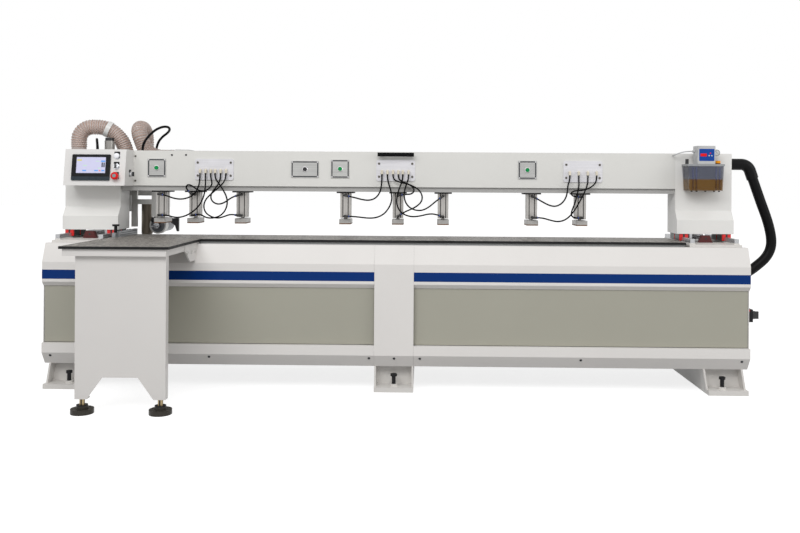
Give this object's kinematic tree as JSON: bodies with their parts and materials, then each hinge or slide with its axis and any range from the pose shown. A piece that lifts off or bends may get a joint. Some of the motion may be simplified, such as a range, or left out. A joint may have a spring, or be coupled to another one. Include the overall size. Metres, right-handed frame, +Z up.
{
  "type": "wood drilling machine",
  "caption": "Floor-standing side-hole drilling machine for wood panels: covered bed and worktable, sliding gantry with air presses, touch-screen control box and a drilling head behind the beam.",
  "frame": {"origin": "on the floor under the middle of the bed", "axes": "+X along the bed to the right as seen by the operator, +Y to the back, +Z up"},
  "size_m": [3.9736, 1.3319, 1.4225],
  "materials": {
    "white_cover": "satin powder coat",
    "grey_panel": "satin powder coat",
    "frame_grey": "satin paint",
    "machined_steel": "ground",
    "black_steel": "black oxide",
    "table_laminate": "matt laminate",
    "black_trim": "matt",
    "slider": "ground",
    "column_white": "satin powder coat",
    "bearing_red": "satin paint",
    "box_white": "satin powder coat",
    "screen": "glossy",
    "plate_grey": "satin",
    "fitting": "matt",
    "air_hose": "satin",
    "cylinder_alu": "anodised",
    "press_steel": "satin",
    "handle_black": "satin",
    "pump_white": "satin",
    "tank": "translucent",
    "gland_black": "satin",
    "conduit": "satin",
    "rail_steel": "ground",
    "carriage_paint": "satin paint",
    "motor_black": "satin paint",
    "dust_white": "satin paint",
    "dust_hose": "translucent",
    "head_alu": "machined",
    "spindle_alu": "anodised",
    "feed_bronze": "anodised",
    "probe_black": "anodised",
    "bit_steel": "ground",
    "button_green": "glossy",
    "button_black": "glossy",
    "button_white": "glossy",
    "button_red": "glossy",
    "cap_orange": "satin"
  },
  "bodies": {
    "base": {"bed_frame": "frame_grey", "rail_beds": "machined_steel", "front_covers": "white_cover", "front_panels": "grey_panel", "outer_covers": "white_cover", "foot_frames": "white_cover", "levelling_feet": "black_steel", "worktable_top": "table_laminate", "table_edges": "black_trim", "extension_top": "table_laminate", "extension_support": "white_cover", "y_guide_rails": "rail_steel", "y_drive_units": "bearing_red", "side_fence": "cylinder_alu", "base_end_fittings": "gland_black"},
    "gantry": {"y_slider_blocks": "slider", "screw_nuts": "machined_steel", "columns": "column_white", "beam_tube": "frame_grey", "beam_cover": "white_cover", "control_box": "box_white", "touch_screen": "screen", "beam_plates": "plate_grey", "air_fittings": "fitting", "air_hoses": "air_hose", "press_cylinders": "cylinder_alu", "top_handle": "handle_black", "lubricator_pump": "pump_white", "lubricator_tank": "tank", "conduit_gland": "gland_black", "conduit_hose": "conduit", "x_rails": "rail_steel"},
    "carriage": {"carriage_plate": "carriage_paint", "carriage_guides": "rail_steel", "x_drive_motor": "motor_black", "dust_manifold": "dust_white", "balance_cylinder": "cylinder_alu", "carriage_hoses": "dust_hose"},
    "head": {"head_frame": "head_alu", "spindle_motor": "spindle_alu", "feed_motor": "feed_bronze", "edge_probe": "probe_black"},
    "drill_spindle_body": {"drill_spindle": "bit_steel"},
    "x_pinion_body": {"x_pinion": "machined_steel"},
    "y_screw_left_body": {"y_screw_left": "rail_steel"},
    "y_screw_right_body": {"y_screw_right": "rail_steel"},
    "press_rods_left_body": {"press_rods_left": "press_steel"},
    "press_rods_middle_body": {"press_rods_middle": "press_steel"},
    "press_rods_right_body": {"press_rods_right": "press_steel"},
    "green_button_1_body": {"green_button_1": "button_green"},
    "green_button_2_body": {"green_button_2": "button_green"},
    "green_button_3_body": {"green_button_3": "button_green"},
    "black_button_body": {"black_button": "button_black"},
    "white_button_body": {"white_button": "button_white"},
    "selector_front_body": {"selector_front": "button_black"},
    "selector_side_body": {"selector_side": "button_black"},
    "estop_button_body": {"estop_button": "button_red"},
    "main_switch_knob_body": {"main_switch_knob": "button_red"},
    "fence_knob_body": {"fence_knob": "black_steel"},
    "filler_cap_body": {"filler_cap": "cap_orange"}
  },
  "joints": [
    {"name": "gantry_y", "type": "slide", "parent": "base", "child": "gantry", "axis": [0, 1, 0], "range_m": [-0.1, 0.1], "deforming": ["conduit_hose"]},
    {"name": "screw_left_spin", "type": "hinge", "parent": "base", "child": "y_screw_left_body", "pos_m": [-1.657, 0, 0.778], "axis": [0, 1, 0], "range_deg": [-3610, 3610]},
    {"name": "screw_right_spin", "type": "hinge", "parent": "base", "child": "y_screw_right_body", "pos_m": [1.657, 0, 0.778], "axis": [0, 1, 0], "range_deg": [-3610, 3610]},
    {"name": "carriage_x", "type": "slide", "parent": "gantry", "child": "carriage", "axis": [1, 0, 0], "range_m": [0, 2.7]},
    {"name": "pinion_spin", "type": "hinge", "parent": "carriage", "child": "x_pinion_body", "pos_m": [-1.33, 0.1, 1.123], "axis": [0, 1, 0], "range_deg": [-5740, 10]},
    {"name": "head_z", "type": "slide", "parent": "carriage", "child": "head", "axis": [0, 0, 1], "range_m": [-0.035, 0.05]},
    {"name": "spindle_spin", "type": "hinge", "parent": "head", "child": "drill_spindle_body", "pos_m": [-1.389, 0.2, 0.81], "axis": [0, 1, 0], "continuous": true},
    {"name": "press_left", "type": "slide", "parent": "gantry", "child": "press_rods_left_body", "axis": [0, 0, 1], "range_m": [-0.069, 0]},
    {"name": "press_middle", "type": "slide", "parent": "gantry", "child": "press_rods_middle_body", "axis": [0, 0, 1], "range_m": [-0.069, 0]},
    {"name": "press_right", "type": "slide", "parent": "gantry", "child": "press_rods_right_body", "axis": [0, 0, 1], "range_m": [-0.069, 0]},
    {"name": "green_button_1_press", "type": "slide", "parent": "gantry", "child": "green_button_1_body", "axis": [0, 1, 0], "range_m": [0, 0.0035], "stiffness_N_per_m": 400, "springref_m": -0.001},
    {"name": "green_button_2_press", "type": "slide", "parent": "gantry", "child": "green_button_2_body", "axis": [0, 1, 0], "range_m": [0, 0.0035], "stiffness_N_per_m": 400, "springref_m": -0.001},
    {"name": "green_button_3_press", "type": "slide", "parent": "gantry", "child": "green_button_3_body", "axis": [0, 1, 0], "range_m": [0, 0.0035], "stiffness_N_per_m": 400, "springref_m": -0.001},
    {"name": "black_button_press", "type": "slide", "parent": "gantry", "child": "black_button_body", "axis": [0, 1, 0], "range_m": [0, 0.0035], "stiffness_N_per_m": 400, "springref_m": -0.001},
    {"name": "white_button_press", "type": "slide", "parent": "gantry", "child": "white_button_body", "axis": [0, 0.9881, -0.1536], "range_m": [0, 0.004], "stiffness_N_per_m": 400, "springref_m": -0.001},
    {"name": "selector_front_turn", "type": "hinge", "parent": "gantry", "child": "selector_front_body", "pos_m": [-1.483, -0.18003, 1.14377], "axis": [0, -0.9881, 0.1536], "range_deg": [-45, 45]},
    {"name": "selector_side_turn", "type": "hinge", "parent": "gantry", "child": "selector_side_body", "pos_m": [-1.435, -0.112, 1.103], "axis": [1, 0, 0], "range_deg": [-45, 45]},
    {"name": "estop_press", "type": "slide", "parent": "gantry", "child": "estop_button_body", "axis": [0, 0.9881, -0.1536], "range_m": [0, 0.006]},
    {"name": "main_switch_turn", "type": "hinge", "parent": "base", "child": "main_switch_knob_body", "pos_m": [1.83, -0.277, 0.399], "axis": [1, 0, 0], "range_deg": [0, 90]},
    {"name": "fence_knob_turn", "type": "hinge", "parent": "base", "child": "fence_knob_body", "pos_m": [-1.483, -0.185, 0.8], "axis": [0, 0, 1], "range_deg": [-180, 180]},
    {"name": "filler_cap_turn", "type": "hinge", "parent": "gantry", "child": "filler_cap_body", "pos_m": [1.712, -0.1095, 1.18], "axis": [0, 0, 1], "range_deg": [0, 90]}
  ],
  "couplings": [
    {"joint": "screw_left_spin", "follows": "gantry_y", "rad_per_m": 628.32},
    {"joint": "screw_right_spin", "follows": "gantry_y", "rad_per_m": 628.32},
    {"joint": "pinion_spin", "follows": "carriage_x", "rad_per_m": -37.037}
  ]
}
